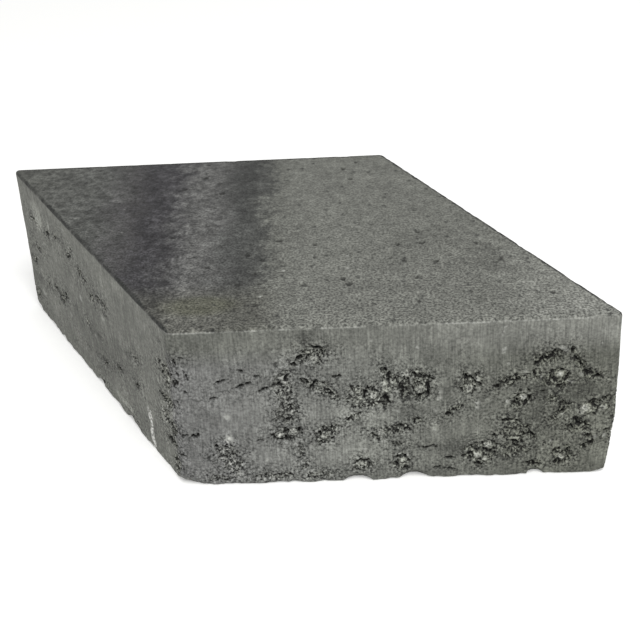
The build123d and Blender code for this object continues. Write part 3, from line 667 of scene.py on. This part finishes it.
# Pressed concrete, dry: matt, with no gloss anywhere. Sand speckles it, the mould draws fine
# lines down the sides, and damp has left dark bands on the top. Lengths are in mm.
concrete = {
    "sideSkin": "#7d7e78",
    "gravel": "#73746d",
    # painted shade: near black, for the gaps, small pits and pores
    "pit": "#161614",
    # pale: lime, and painted highlights on the pebbles and the front arris
    "lime": "#b4b5af",
    "limeRun": "#d9d9d5",
    "olive": "#5a5b49",
    # dark: spots on the top, and painted shade along the top arrises
    "rim": "#30312f",
    "roughness": 0.92,
    "sandBump": (0.7, 0.3),        # strength and height
    # patterns: size of a feature, and detail; the sand is a little coarser than real, so that it shows
    "patterns": {
        "sand": (0.8, 2), "crevice": (0.8, 2), "grit": (2.2, 2),
        "blotch": (6.0, 3), "mottle": (9.0, 3), "patch": (15.0, 3),
    },
    "patternRough": 0.6,
    "dragLine": (0.55, 9.0),       # lines drawn by the mould: across and along
    "fleckSpacing": 7.0,
    "spotSpacing": 5.0,
    "skinRange": (0.4, 1.6),       # brightness of the darkest and the palest skin
    "roughSkinShade": 0.84,            # brightness of the skin beside an opening
    "frontDepth": (3.5, 1.5),      # behind the flat of the front, where its tints start and are full
    "denseBand": (46, 53),         # height where the finer band of the sides starts and is full
    "bandLeft": "#d1d2d0",         # tint of that band at the left end of the front
    "bandFade": 120,               # how far along the front the tint fades out
    # tint of the open concrete under it, by share of the front from the left
    "openTints": [(0.0, "#f0eff7"), (0.45, "#edeeee"), (0.85, "#d0d1cb")],
    "spotStray": 2.0,              # how far the outline of a spot wanders
    "spotCore": 0.2,               # full strength inside this share of its radius
    "limeRunPlace": (9.6, 11.0),   # along the left side, from the middle of the stone
    "limeRunReach": (0.4, 1.1),    # half width at full strength, and where it ends
    "limeRunTop": (16.5, 18.5),    # height where it starts to fade, and ends
    "limeRunDepth": (4.12, 2.12),  # behind the flat of the left side, where it starts and is full
    # top, from the left corner to the right one: share of its width and tone; darker to the left, partly
    # from damp bands and partly from painted shade
    "topBandsAndShade": [
        (0.0, "#5d5e59"), (0.175, "#585956"), (0.226, "#4c4b4b"), (0.262, "#3d3c3e"), (0.295, "#474648"),
        (0.345, "#626260"), (0.378, "#626260"), (0.422, "#4c4d4b"), (0.458, "#4e4f4c"), (0.488, "#6c6d67"),
        (0.53, "#72736d"), (0.82, "#6f706a"), (0.957, "#80817b"),
    ],
    "bandStray": (8, 4, 5),        # how far patch, blotch and grit shift the bands
    "dampRight": (-20, -4),        # x where the damp blotches start to fade, and are faint
    "topNear": "#5d5d56",          # left half of the top by the front edge
    "topNearDepth": (-30, -45),    # y where that starts and is full
    "topNearRight": (-8, 0),       # x where it fades out
    # stains on the top: x, y, half length, half width, and brightness
    "topStains": [
        (-17, 42, 9, 28, 0.78), (-42, -14, 6, 42, 0.76), (-71, 14, 7, 22, 0.86), (-61, 30, 3.5, 1.8, 1.5),
        (-77, 18, 4.5, 1.5, 1.5), (77, -40, 6, 2, 1.3), (88, -50, 16, 8, 1.08), (-52, 30, 5, 22, 0.86),
        (-32, 50, 5, 8, 1.14), (30, 40, 20, 3, 1.08), (42, -12, 10, 11, 0.92), (-20, -6, 7, 10, 1.1),
        (66, -22, 7, 10, 0.84), (52, -4, 6, 7, 0.9), (24, -36, 5, 6, 0.9), (-13, -24, 5, 12, 0.82),
    ],
    "moss": (-26, -46, 16, 8),     # olive patch on the top: x, y, half length and half width
    "topSkin": (1.2, 0.4),         # below the top, where its colours start and are full
    "arrisShadeShift": (0.5, 0.8),        # how much wider the painted shade along the arris is on the right and at the back
    "arrisShadeReach": (1.1, 0.6),        # in from the outline, where the painted shade starts and is full
    "arrisShadeDrop": (1.4, 0.8),         # and below the top
    "arrisShadeFray": 0.25,
    "frontHighlight": (0.9, 0.1, 0.4),  # painted highlight on the front arris, a pale line: below the top, half width at full strength, and to its end
}


def linear(hexColour):
    # sRGB hex to linear RGBA
    value = int(hexColour.lstrip("#"), 16)
    parts = [(value >> shift & 255) / 255 for shift in (16, 8, 0)]
    return [c / 12.92 if c <= 0.04045 else ((c + 0.055) / 1.055) ** 2.4 for c in parts] + [1]


def addNode(tree, kind, inputs=(), out=0, **settings):
    # one node with its settings, and its inputs set or linked, by socket or in their order;
    # gives the output asked for
    made = tree.nodes.new("ShaderNode" + kind)
    for name, value in settings.items():
        setattr(made, name, value)
    for slot, value in inputs.items() if isinstance(inputs, dict) else enumerate(inputs):
        if isinstance(value, bpy.types.NodeSocket):
            tree.links.new(value, made.inputs[slot])
        else:
            made.inputs[slot].default_value = value
    return made.outputs[out] if made.outputs else made


def pressedConcrete():
    # a MapRange takes its value, the range that comes in and the range that goes out
    material = bpy.data.materials.new("pressedConcrete")
    material.use_nodes = True
    tree = material.node_tree
    tree.nodes.clear()
    add = partial(addNode, tree)
    colours = {"out": 2, "data_type": "RGBA"}
    tints = {**colours, "blend_type": "MULTIPLY"}
    smooth = {"interpolation_type": "SMOOTHSTEP"}
    sides, length = planSides()[:2]
    low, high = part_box(paver["node"])
    width, depth, thickness = high - low
    where = add("TexCoord", out="Object")
    x, y, z = (add("SeparateXYZ", [where], axis) for axis in "XYZ")
    names = ("pit", "open", "tone", "crest", "grime", "skinTone")
    layers = (add("Attribute", out="Fac", attribute_name=name) for name in names)
    pit, opened, tone, crest, grime, skinTone = layers

    # patterns, each with its feature size
    rough = concrete["patternRough"]
    sand, crevice, grit, blotch, mottle, patch = (
        add("TexNoise", {"Vector": where, "Scale": 1 / (size * mm), "Detail": detail, "Roughness": rough})
        for size, detail in concrete["patterns"].values()
    )
    line, run = concrete["dragLine"]
    drawn = add("Mapping", {"Vector": where, "Scale": (1, 1, line / run)})
    drag = add("TexNoise", {"Vector": drawn, "Scale": 1 / (line * mm), "Detail": 2, "Roughness": rough})

    # sides: skin, paler and darker in patches, with fine lines drawn by the mould
    loose = add("MapRange", (patch, 0.42, 0.66, 0.9, 1.14))
    lines = add("MapRange", (drag, 0.33, 0.67, 0.75, 1.25))
    roughDarker = add("MapRange", (grime, 0, 1, 1, concrete["roughSkinShade"]))
    shade = add("MapRange", (skinTone, 0, 1, *concrete["skinRange"]))
    for part in (loose, lines, roughDarker):
        shade = add("Math", (shade, part), operation="MULTIPLY")
    side = add("Mix", {0: 1, 6: linear(concrete["sideSkin"]), 7: shade}, **tints)

    # openings: gravel, each crumb with its own tone, with painted light where it stands out and painted
    # shade where it sinks in
    crumb = add("MapRange", (tone, 0, 1, 0.7, 1.8))
    crestLightAndShade = add("MapRange", (crest, 0.2, 0.8, 0.6, 1.3))
    crumb = add("Math", (crumb, crestLightAndShade), operation="MULTIPLY")
    gravel = add("Mix", {0: 1, 6: linear(concrete["gravel"]), 7: crumb}, **tints)
    side = add("Mix", {0: opened, 6: side, 7: gravel}, **colours)

    # painted shade: black gaps between the crumbs, and black specks of small pits round the openings, and
    # glints there; pebbles keep clean
    gap = add("MapRange", (crevice, 0.47, 0.4, 0, 0.85))
    pitSpeckShade = add("MapRange", (crevice, 0.45, 0.37, 0, 0.95))
    glint = add("MapRange", (crevice, 0.57, 0.65, 0, 0.35))
    crown = add("MapRange", (tone, 0.45, 0.75, 1, 0.2))
    marks = [(gap, (opened, crown), "pit"), (pitSpeckShade, (grime, crown), "pit"), (glint, (grime,), "lime")]
    for mark, parts, colour in marks:
        for part in parts:
            mark = add("Math", (mark, part), operation="MULTIPLY")
        side = add("Mix", {0: mark, 6: side, 7: linear(concrete[colour])}, **colours)

    # front: the dense band darkens to the left, and the open concrete below it to the right
    left = sides["front"]["start"][0] * mm
    atFront = add("MapRange", (y, *(inset * mm - depth / 2 for inset in concrete["frontDepth"])))
    bandward = add("MapRange", (x, left, left + concrete["bandFade"] * mm))
    band = add("Mix", {0: bandward, 6: linear(concrete["bandLeft"]), 7: (1, 1, 1, 1)}, **colours)
    rightward = add("MapRange", (x, left, left + length * mm))
    openRamp = add("ValToRGB", [rightward])
    below = add("MapRange", (z, *(level * mm for level in concrete["denseBand"]), 1, 0))
    tint = add("Mix", {0: below, 6: band, 7: openRamp}, **colours)
    side = add("Mix", {0: atFront, 6: side, 7: tint}, **tints)

    # lime spots, and painted highlights on the pebbles, of the front and left
    stray = add("VectorMath", (crevice.node.outputs["Color"], (0.5, 0.5, 0.5)), operation="SUBTRACT")
    swing = [concrete["spotStray"] * mm] * 3
    stray = add("VectorMath", (stray, swing, where), operation="MULTIPLY_ADD")
    lime = 0
    for name, spots in limeSpotsAndHighlights.items():
        for place, level, radius, pale in spots:
            middle = sides[name]["start"] + sides[name]["run"] * place
            centre = (middle[0] * mm, middle[1] * mm, level * mm)
            spot = add("VectorMath", (stray, centre), "Value", operation="DISTANCE")
            spot = add("MapRange", (spot, concrete["spotCore"] * radius * mm, radius * mm, pale, 0))
            lime = add("Math", (lime, spot), operation="MAXIMUM")
    side = add("Mix", {0: lime, 6: side, 7: linear(concrete["lime"])}, **colours)

    # left side: lime run down the edge of the scar by the near corner
    along = add("VectorMath", (where, sides["left"]["run"]), "Value", operation="DOT_PRODUCT")
    across = add("VectorMath", (where, sides["right"]["out"]), "Value", operation="DOT_PRODUCT")
    swerve = add("MapRange", (grit, 0.3, 0.7, *(place * mm for place in concrete["limeRunPlace"])))
    streak = add("Math", (along, swerve), operation="SUBTRACT")
    streak = add("Math", [streak], operation="ABSOLUTE")
    streak = add("MapRange", (streak, *(reach * mm for reach in concrete["limeRunReach"]), 1, 0))
    onLeft = add("MapRange", (across, *(inset * mm - depth / 2 for inset in concrete["limeRunDepth"])))
    lowDown = add("MapRange", (z, *(level * mm for level in concrete["limeRunTop"]), 1, 0))
    thinly = add("MapRange", (crevice, 0.4, 0.55, 0.35, 1))
    for part in (onLeft, lowDown, thinly):
        streak = add("Math", (streak, part), operation="MULTIPLY")
    side = add("Mix", {0: streak, 6: side, 7: linear(concrete["limeRun"])}, **colours)

    # top: damp bands across it, with painted shade that darkens it to the left, blotched, and greyer by the
    # front edge
    wander, spill, fray = (
        add("MapRange", (pattern, 0, 1, -reach * mm, reach * mm))
        for pattern, reach in zip((patch, blotch, grit), concrete["bandStray"])
    )
    band = x
    for part in (wander, spill, fray):
        band = add("Math", (band, part), operation="ADD")
    band = add("MapRange", (band, -width / 2, width / 2))
    topRampAndShade = add("ValToRGB", [band])
    near = add("MapRange", (y, *(place * mm for place in concrete["topNearDepth"]), 0, 0.75), **smooth)
    leftHalf = add("MapRange", (x, *(place * mm for place in concrete["topNearRight"]), 1, 0))
    near = add("Math", (near, leftHalf), operation="MULTIPLY")
    top = add("Mix", {0: near, 6: topRampAndShade, 7: linear(concrete["topNear"])}, **colours)
    damp = add("MapRange", (blotch, 0.35, 0.65, 0.74, 1.26))
    dots = add("MapRange", (grit, 0.35, 0.65, 0.76, 1.2))
    damp = add("Math", (damp, dots), operation="MULTIPLY")
    stained = add("MapRange", (x, *(place * mm for place in concrete["dampRight"]), 1, 0.3))
    top = add("Mix", {0: stained, 6: top, 7: damp}, **tints)

    # stops of both ramps, of which each has two to begin with
    for ramp, stops in ((openRamp, concrete["openTints"]), (topRampAndShade, concrete["topBandsAndShade"])):
        made = ramp.node.color_ramp.elements
        for index, (position, colour) in enumerate(stops):
            stop = made[index] if index < 2 else made.new(position)
            stop.position = position
            stop.color = linear(colour)

    # top: stains, and an olive patch by the front edge
    swell = add("MapRange", (blotch, 0.3, 0.7, -0.4, 0.4))
    for stainX, stainY, halfLength, halfWidth, brightness in concrete["topStains"]:
        place = (-stainX / halfLength, -stainY / halfWidth, 0)
        size = (1 / (halfLength * mm), 1 / (halfWidth * mm), 0)
        oval = add("Mapping", {"Vector": where, "Location": place, "Scale": size})
        oval = add("VectorMath", [oval], "Value", operation="LENGTH")
        oval = add("Math", (oval, swell), operation="ADD")
        oval = add("MapRange", (oval, 0.5, 1.2, brightness, 1), **smooth)
        top = add("Mix", {0: 1, 6: top, 7: oval}, **tints)
    mossX, mossY, halfLength, halfWidth = concrete["moss"]
    place = (-mossX / halfLength, -mossY / halfWidth, 0)
    size = (1 / (halfLength * mm), 1 / (halfWidth * mm), 0)
    moss = add("Mapping", {"Vector": where, "Location": place, "Scale": size})
    moss = add("VectorMath", [moss], "Value", operation="LENGTH")
    moss = add("MapRange", (moss, 0.4, 1, 0.5, 0), **smooth)
    top = add("Mix", {0: moss, 6: top, 7: linear(concrete["olive"])}, **colours)

    # top: small dark spots, thicker in some places than in others
    scale = 1 / (concrete["spotSpacing"] * mm)
    spot = add("TexVoronoi", {"Vector": stray, "Scale": scale}, "Distance", voronoi_dimensions="2D")
    chance = add("SeparateXYZ", [spot.node.outputs["Color"]], "X")
    chance = add("Math", (chance, mottle), operation="ADD")
    chance = add("MapRange", (chance, 1.02, 1.35, 0, 0.75))
    spot = add("MapRange", (spot, 0.05, 0.2, 1, 0))
    spot = add("Math", (spot, chance), operation="MULTIPLY")
    top = add("Mix", {0: spot, 6: top, 7: linear(concrete["rim"])}, **colours)
    onTop = add("MapRange", (z, *(thickness - drop * mm for drop in concrete["topSkin"])))
    colour = add("Mix", {0: onTop, 6: side, 7: top}, **colours)

    # top arrises: painted shade round the left, back and right, where they face away from the light; a thin
    # pale line along the front, a painted highlight
    rightShift, backShift = concrete["arrisShadeShift"]
    outer = add("Math", (across, rightShift * mm), operation="ADD")
    backArrisShade = add("Math", (y, backShift * mm), operation="ADD")
    leftArrisShade = add("Math", (across, -1), operation="MULTIPLY")
    for part in (backArrisShade, leftArrisShade):
        outer = add("Math", (outer, part), operation="MAXIMUM")
    outer = add("Math", (fray, concrete["arrisShadeFray"], outer), operation="MULTIPLY_ADD")
    rim = add("MapRange", (outer, *(depth / 2 - reach * mm for reach in concrete["arrisShadeReach"])))
    upper = add("MapRange", (z, *(thickness - drop * mm for drop in concrete["arrisShadeDrop"])))
    arrisShadeBreaks = add("MapRange", (mottle, 0.36, 0.56, 0.25, 1))
    for part in (upper, arrisShadeBreaks):
        rim = add("Math", (rim, part), operation="MULTIPLY")
    colour = add("Mix", {0: rim, 6: colour, 7: linear(concrete["rim"])}, **colours)
    # painted highlight along the front arris
    drop, core, end = concrete["frontHighlight"]
    line = add("Math", (z, thickness - drop * mm), operation="SUBTRACT")
    line = add("Math", [line], operation="ABSOLUTE")
    line = add("MapRange", (line, core * mm, end * mm, 0.36, 0))
    broken = add("MapRange", (mottle, 0.44, 0.58, 0.15, 1))
    for part in (atFront, broken):
        line = add("Math", (line, part), operation="MULTIPLY")
    colour = add("Mix", {0: line, 6: colour, 7: linear(concrete["lime"])}, **colours)

    # lime flecks, a few to the square centimetre
    fleck = add("TexVoronoi", {"Vector": where, "Scale": 1 / (concrete["fleckSpacing"] * mm)}, "Distance")
    rare = add("SeparateXYZ", [fleck.node.outputs["Color"]], "X")
    rare = add("MapRange", (rare, 0.55, 1, 0, 0.6))
    fleck = add("MapRange", (fleck, 0.04, 0.11, 1, 0))
    fleck = add("Math", (fleck, rare), operation="MULTIPLY")
    colour = add("Mix", {0: fleck, 6: colour, 7: linear(concrete["lime"])}, **colours)

    # all over: sand, grit and a cloudy mottle; the sand shows more on the top and in the openings
    worn = add("MapRange", (y, -depth / 2, depth / 2, 0.62, 0.2))
    grainy = add("MapRange", (grime, 0, 1, 0.16, 0.45))
    grainy = add("Math", (opened, 0.3, grainy), operation="MULTIPLY_ADD")
    grainy = add("Mix", {0: onTop, 2: grainy, 3: worn})
    speckle = add("MapRange", (sand, 0.36, 0.64, -1, 1))
    speckle = add("Math", (speckle, grainy, 1), operation="MULTIPLY_ADD")
    coarse = add("MapRange", (grit, 0.35, 0.65, 0.89, 1.11))
    cloudy = add("MapRange", (mottle, 0.3, 0.7, 0.9, 1.1))
    for part in (coarse, cloudy):
        speckle = add("Math", (speckle, part), operation="MULTIPLY")
    colour = add("Mix", {0: 1, 6: colour, 7: speckle}, **tints)
    # painted shade in the deep gaps and the pores
    colour = add("Mix", {0: pit, 6: colour, 7: linear(concrete["pit"])}, **colours)

    strength, rise = concrete["sandBump"]
    bump = add("Bump", {"Height": sand, "Strength": strength, "Distance": rise * mm})
    surface = {"Base Color": colour, "Normal": bump, "Roughness": concrete["roughness"], "IOR": 1.5}
    add("OutputMaterial", {"Surface": add("BsdfPrincipled", surface)})
    return material


stone.data.materials.clear()
stone.data.materials.append(pressedConcrete())
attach(stone, "root")
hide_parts(paver["node"])
print("stone dressed")

# Studio: pale floor, soft light and the camera; sizes and places in metres
studio = {
    "floorSize": 6.0,
    "floorColour": "#f4f4f2",
    "floorGlow": 0.3,                     # lifts the paper to white for the camera only
    "skyStrength": 0.5,
    "softboxPower": 11,                   # watts
    "softboxSize": 0.6,
    "softboxPlace": (0.2, -0.72, 1.15),
    "softboxAim": (0, 0, 0.03),
    "camera": (0.0243, -0.4243, 0.2860),
    "clipStart": 0.01,
    "lens": 79.23,                        # mm
    "sensor": 36,                         # mm
    "pitch": 31.596,                      # degrees down
    "yaw": 1.912,                         # degrees to the left
    "roll": -3.24,                        # degrees clockwise
}


def studioFloor():
    bm = bmesh.new()
    bmesh.ops.create_grid(bm, x_segments=1, y_segments=1, size=studio["floorSize"] / 2)
    mesh = bpy.data.meshes.new("floor")
    bm.to_mesh(mesh)
    bm.free()
    floor = bpy.data.objects.new("floor", mesh)
    bpy.context.scene.collection.objects.link(floor)
    # pale paper that gives no light of its own but looks white to the camera
    material = bpy.data.materials.new("floorPaper")
    material.use_nodes = True
    tree = material.node_tree
    tree.nodes.clear()
    add = partial(addNode, tree)
    paper = add("BsdfDiffuse", {"Color": linear(studio["floorColour"])})
    glow = add("Emission", {"Color": (1, 1, 1, 1), "Strength": studio["floorGlow"]})
    both = add("AddShader", (paper, glow))
    seen = add("LightPath", out="Is Camera Ray")
    for ray in ("Is Glossy Ray", "Is Transmission Ray"):
        seen = add("Math", (seen, add("LightPath", out=ray)), operation="MAXIMUM")
    paper = add("MixShader", (seen, paper, both))
    add("OutputMaterial", {"Surface": paper})
    mesh.materials.append(material)


def studioLight():
    world = bpy.data.worlds.new("studio")
    bpy.context.scene.world = world
    world.use_nodes = True
    sky = world.node_tree.nodes["Background"]
    sky.inputs["Color"].default_value = (1, 1, 1, 1)
    sky.inputs["Strength"].default_value = studio["skyStrength"]
    lamp = bpy.data.lights.new("softbox", "AREA")
    lamp.shape = "DISK"
    lamp.size = studio["softboxSize"]
    lamp.energy = studio["softboxPower"]
    softbox = bpy.data.objects.new("softbox", lamp)
    softbox.location = studio["softboxPlace"]
    aim = Vector(studio["softboxAim"]) - softbox.location
    softbox.rotation_euler = aim.to_track_quat("-Z", "Y").to_euler()
    bpy.context.scene.collection.objects.link(softbox)


def studioCamera():
    camera = bpy.data.objects.new("camera", bpy.data.cameras.new("camera"))
    camera.data.lens = studio["lens"]
    camera.data.sensor_width = studio["sensor"]
    camera.data.clip_start = studio["clipStart"]
    turn = Matrix.Rotation(math.radians(studio["yaw"]), 3, "Z")
    turn = turn @ Matrix.Rotation(math.radians(90 - studio["pitch"]), 3, "X")
    turn = turn @ Matrix.Rotation(math.radians(studio["roll"]), 3, "Z")
    camera.matrix_world = Matrix.Translation(studio["camera"]) @ turn.to_4x4()
    bpy.context.scene.collection.objects.link(camera)
    bpy.context.scene.camera = camera


studioFloor()
studioLight()
studioCamera()
bpy.context.scene.view_settings.view_transform = "Standard"
print("studio ready")
